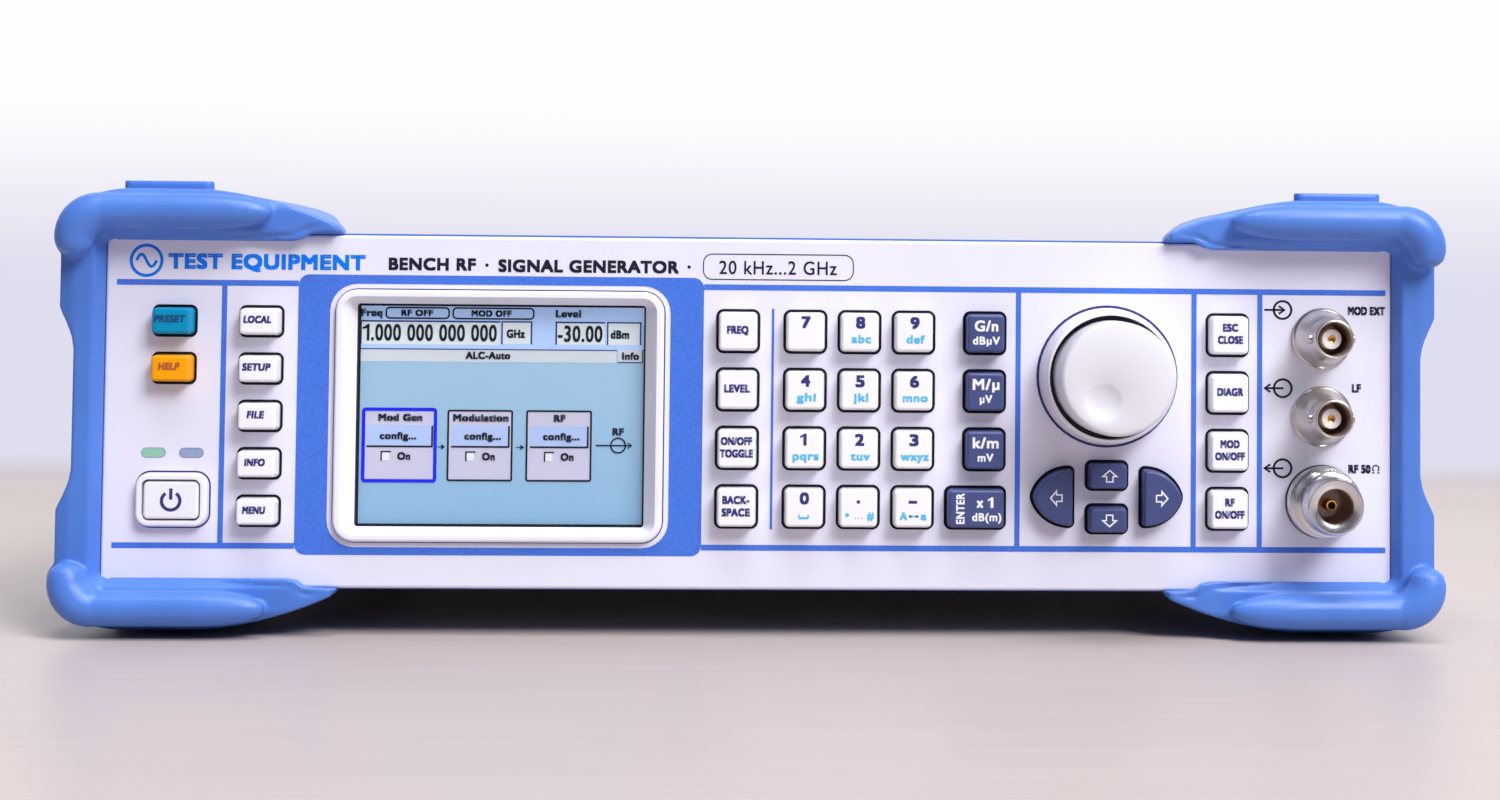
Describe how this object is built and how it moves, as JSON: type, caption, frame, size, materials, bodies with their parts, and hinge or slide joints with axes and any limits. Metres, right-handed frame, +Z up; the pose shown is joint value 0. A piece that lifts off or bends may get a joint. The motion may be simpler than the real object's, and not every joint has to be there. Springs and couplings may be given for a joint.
{
  "type": "signal generator",
  "caption": "Bench radio-frequency signal generator with a display, pressable keys, a push-and-turn knob, coaxial sockets, blue corner bumpers and fold-out feet.",
  "frame": {"origin": "middle of the bottom of the whole instrument, on the surface that it stands on", "axes": "+X to the right seen from the front, +Y from the front to the back, +Z up"},
  "size_m": [0.344, 0.368, 0.112],
  "materials": {
    "panel_white": "satin light lavender-white paint",
    "bezel_white": "smooth white moulded plastic",
    "clear_window": "clear acrylic",
    "screen": "pale blue LCD in a metal frame",
    "board_green": "green solder mask",
    "steel": "zinc-plated steel",
    "frame_blue": "blue painted cast aluminium",
    "bumper_blue": "satin blue moulded plastic",
    "case_grey": "fine textured light grey paint",
    "bare_aluminium": "plain aluminium sheet",
    "nickel": "nickel-plated brass, turned",
    "black_plastic": "black moulded plastic",
    "key_white": "satin white moulded keycap with indigo print",
    "key_dark": "dark indigo moulded keycap with white print",
    "key_teal": "teal moulded keycap",
    "key_amber": "orange-yellow moulded keycap"
  },
  "bodies": {
    "housing": {"case_tube": "case_grey", "clear_windows": "clear_window", "fan_frame": "black_plastic", "front_bumpers": "bumper_blue", "front_connectors": "nickel", "front_frame": "frame_blue", "front_panel": "panel_white", "keypad_board": "board_green", "lcd_module": "screen", "main_board": "board_green", "mains_inlet": "black_plastic", "panel_bezels": "bezel_white", "power_supply": "bare_aluminium", "rear_connectors": "nickel", "rear_feet": "bumper_blue", "rear_panel": "bare_aluminium", "rf_module": "bare_aluminium", "screws": "steel"},
    "encoder_shaft": {"encoder_shaft": "steel"},
    "fan_rotor": {"fan_rotor": "black_plastic"},
    "key_0": {"key_0": "key_white"},
    "key_1": {"key_1": "key_white"},
    "key_2": {"key_2": "key_white"},
    "key_3": {"key_3": "key_white"},
    "key_4": {"key_4": "key_white"},
    "key_5": {"key_5": "key_white"},
    "key_6": {"key_6": "key_white"},
    "key_7": {"key_7": "key_white"},
    "key_8": {"key_8": "key_white"},
    "key_9": {"key_9": "key_white"},
    "key_backspace": {"key_backspace": "key_white"},
    "key_diagram": {"key_diagram": "key_white"},
    "key_down": {"key_down": "key_dark"},
    "key_enter": {"key_enter": "key_dark"},
    "key_escape": {"key_escape": "key_white"},
    "key_file": {"key_file": "key_white"},
    "key_freq": {"key_freq": "key_white"},
    "key_giga": {"key_giga": "key_dark"},
    "key_help": {"key_help": "key_amber"},
    "key_info": {"key_info": "key_white"},
    "key_kilo": {"key_kilo": "key_dark"},
    "key_left": {"key_left": "key_dark"},
    "key_level": {"key_level": "key_white"},
    "key_local": {"key_local": "key_white"},
    "key_mega": {"key_mega": "key_dark"},
    "key_menu": {"key_menu": "key_white"},
    "key_mod": {"key_mod": "key_white"},
    "key_point": {"key_point": "key_white"},
    "key_power": {"key_power": "key_white"},
    "key_preset": {"key_preset": "key_teal"},
    "key_rf": {"key_rf": "key_white"},
    "key_right": {"key_right": "key_dark"},
    "key_setup": {"key_setup": "key_white"},
    "key_sign": {"key_sign": "key_white"},
    "key_toggle": {"key_toggle": "key_white"},
    "key_up": {"key_up": "key_dark"},
    "knob": {"knob": "bezel_white"},
    "mains_rocker": {"mains_rocker": "black_plastic"},
    "tilt_foot_left": {"tilt_foot_left": "bumper_blue"},
    "tilt_foot_right": {"tilt_foot_right": "bumper_blue"}
  },
  "joints": [
    {"name": "encoder_push", "type": "slide", "parent": "housing", "child": "encoder_shaft", "axis": [0, 1, 0], "range_m": [0, 0.0005], "stiffness_N_per_m": 6000},
    {"name": "knob_turn", "type": "hinge", "parent": "encoder_shaft", "child": "knob", "pos_m": [0.08705, -0.1724, 0.06445], "axis": [0, -1, 0], "continuous": true},
    {"name": "mains_rocker_tilt", "type": "hinge", "parent": "housing", "child": "mains_rocker", "pos_m": [0.12, 0.17, 0.073], "axis": [-1, 0, 0], "range_deg": [0, 16]},
    {"name": "fan_spin", "type": "hinge", "parent": "housing", "child": "fan_rotor", "pos_m": [-0.012, 0.153, 0.0546], "axis": [0, 1, 0], "continuous": true},
    {"name": "tilt_foot_left_fold", "type": "hinge", "parent": "housing", "child": "tilt_foot_left", "pos_m": [-0.1275, -0.1514, 0.0058], "axis": [-1, 0, 0], "range_deg": [0, 90]},
    {"name": "tilt_foot_right_fold", "type": "hinge", "parent": "housing", "child": "tilt_foot_right", "pos_m": [0.1275, -0.1514, 0.0058], "axis": [-1, 0, 0], "range_deg": [0, 90]},
    {"name": "key_0_press", "type": "slide", "parent": "housing", "child": "key_0", "axis": [0, 1, 0], "range_m": [0, 0.0012], "stiffness_N_per_m": 800},
    {"name": "key_1_press", "type": "slide", "parent": "housing", "child": "key_1", "axis": [0, 1, 0], "range_m": [0, 0.0012], "stiffness_N_per_m": 800},
    {"name": "key_2_press", "type": "slide", "parent": "housing", "child": "key_2", "axis": [0, 1, 0], "range_m": [0, 0.0012], "stiffness_N_per_m": 800},
    {"name": "key_3_press", "type": "slide", "parent": "housing", "child": "key_3", "axis": [0, 1, 0], "range_m": [0, 0.0012], "stiffness_N_per_m": 800},
    {"name": "key_4_press", "type": "slide", "parent": "housing", "child": "key_4", "axis": [0, 1, 0], "range_m": [0, 0.0012], "stiffness_N_per_m": 800},
    {"name": "key_5_press", "type": "slide", "parent": "housing", "child": "key_5", "axis": [0, 1, 0], "range_m": [0, 0.0012], "stiffness_N_per_m": 800},
    {"name": "key_6_press", "type": "slide", "parent": "housing", "child": "key_6", "axis": [0, 1, 0], "range_m": [0, 0.0012], "stiffness_N_per_m": 800},
    {"name": "key_7_press", "type": "slide", "parent": "housing", "child": "key_7", "axis": [0, 1, 0], "range_m": [0, 0.0012], "stiffness_N_per_m": 800},
    {"name": "key_8_press", "type": "slide", "parent": "housing", "child": "key_8", "axis": [0, 1, 0], "range_m": [0, 0.0012], "stiffness_N_per_m": 800},
    {"name": "key_9_press", "type": "slide", "parent": "housing", "child": "key_9", "axis": [0, 1, 0], "range_m": [0, 0.0012], "stiffness_N_per_m": 800},
    {"name": "key_backspace_press", "type": "slide", "parent": "housing", "child": "key_backspace", "axis": [0, 1, 0], "range_m": [0, 0.0012], "stiffness_N_per_m": 800},
    {"name": "key_diagram_press", "type": "slide", "parent": "housing", "child": "key_diagram", "axis": [0, 1, 0], "range_m": [0, 0.0012], "stiffness_N_per_m": 800},
    {"name": "key_down_press", "type": "slide", "parent": "housing", "child": "key_down", "axis": [0, 1, 0], "range_m": [0, 0.0012], "stiffness_N_per_m": 800},
    {"name": "key_enter_press", "type": "slide", "parent": "housing", "child": "key_enter", "axis": [0, 1, 0], "range_m": [0, 0.0012], "stiffness_N_per_m": 800},
    {"name": "key_escape_press", "type": "slide", "parent": "housing", "child": "key_escape", "axis": [0, 1, 0], "range_m": [0, 0.0012], "stiffness_N_per_m": 800},
    {"name": "key_file_press", "type": "slide", "parent": "housing", "child": "key_file", "axis": [0, 1, 0], "range_m": [0, 0.0012], "stiffness_N_per_m": 800},
    {"name": "key_freq_press", "type": "slide", "parent": "housing", "child": "key_freq", "axis": [0, 1, 0], "range_m": [0, 0.0012], "stiffness_N_per_m": 800},
    {"name": "key_giga_press", "type": "slide", "parent": "housing", "child": "key_giga", "axis": [0, 1, 0], "range_m": [0, 0.0012], "stiffness_N_per_m": 800},
    {"name": "key_help_press", "type": "slide", "parent": "housing", "child": "key_help", "axis": [0, 1, 0], "range_m": [0, 0.0012], "stiffness_N_per_m": 800},
    {"name": "key_info_press", "type": "slide", "parent": "housing", "child": "key_info", "axis": [0, 1, 0], "range_m": [0, 0.0012], "stiffness_N_per_m": 800},
    {"name": "key_kilo_press", "type": "slide", "parent": "housing", "child": "key_kilo", "axis": [0, 1, 0], "range_m": [0, 0.0012], "stiffness_N_per_m": 800},
    {"name": "key_left_press", "type": "slide", "parent": "housing", "child": "key_left", "axis": [0, 1, 0], "range_m": [0, 0.0012], "stiffness_N_per_m": 800},
    {"name": "key_level_press", "type": "slide", "parent": "housing", "child": "key_level", "axis": [0, 1, 0], "range_m": [0, 0.0012], "stiffness_N_per_m": 800},
    {"name": "key_local_press", "type": "slide", "parent": "housing", "child": "key_local", "axis": [0, 1, 0], "range_m": [0, 0.0012], "stiffness_N_per_m": 800},
    {"name": "key_mega_press", "type": "slide", "parent": "housing", "child": "key_mega", "axis": [0, 1, 0], "range_m": [0, 0.0012], "stiffness_N_per_m": 800},
    {"name": "key_menu_press", "type": "slide", "parent": "housing", "child": "key_menu", "axis": [0, 1, 0], "range_m": [0, 0.0012], "stiffness_N_per_m": 800},
    {"name": "key_mod_press", "type": "slide", "parent": "housing", "child": "key_mod", "axis": [0, 1, 0], "range_m": [0, 0.0012], "stiffness_N_per_m": 800},
    {"name": "key_point_press", "type": "slide", "parent": "housing", "child": "key_point", "axis": [0, 1, 0], "range_m": [0, 0.0012], "stiffness_N_per_m": 800},
    {"name": "key_power_press", "type": "slide", "parent": "housing", "child": "key_power", "axis": [0, 1, 0], "range_m": [0, 0.0012], "stiffness_N_per_m": 800},
    {"name": "key_preset_press", "type": "slide", "parent": "housing", "child": "key_preset", "axis": [0, 1, 0], "range_m": [0, 0.0012], "stiffness_N_per_m": 800},
    {"name": "key_rf_press", "type": "slide", "parent": "housing", "child": "key_rf", "axis": [0, 1, 0], "range_m": [0, 0.0012], "stiffness_N_per_m": 800},
    {"name": "key_right_press", "type": "slide", "parent": "housing", "child": "key_right", "axis": [0, 1, 0], "range_m": [0, 0.0012], "stiffness_N_per_m": 800},
    {"name": "key_setup_press", "type": "slide", "parent": "housing", "child": "key_setup", "axis": [0, 1, 0], "range_m": [0, 0.0012], "stiffness_N_per_m": 800},
    {"name": "key_sign_press", "type": "slide", "parent": "housing", "child": "key_sign", "axis": [0, 1, 0], "range_m": [0, 0.0012], "stiffness_N_per_m": 800},
    {"name": "key_toggle_press", "type": "slide", "parent": "housing", "child": "key_toggle", "axis": [0, 1, 0], "range_m": [0, 0.0012], "stiffness_N_per_m": 800},
    {"name": "key_up_press", "type": "slide", "parent": "housing", "child": "key_up", "axis": [0, 1, 0], "range_m": [0, 0.0012], "stiffness_N_per_m": 800}
  ]
}
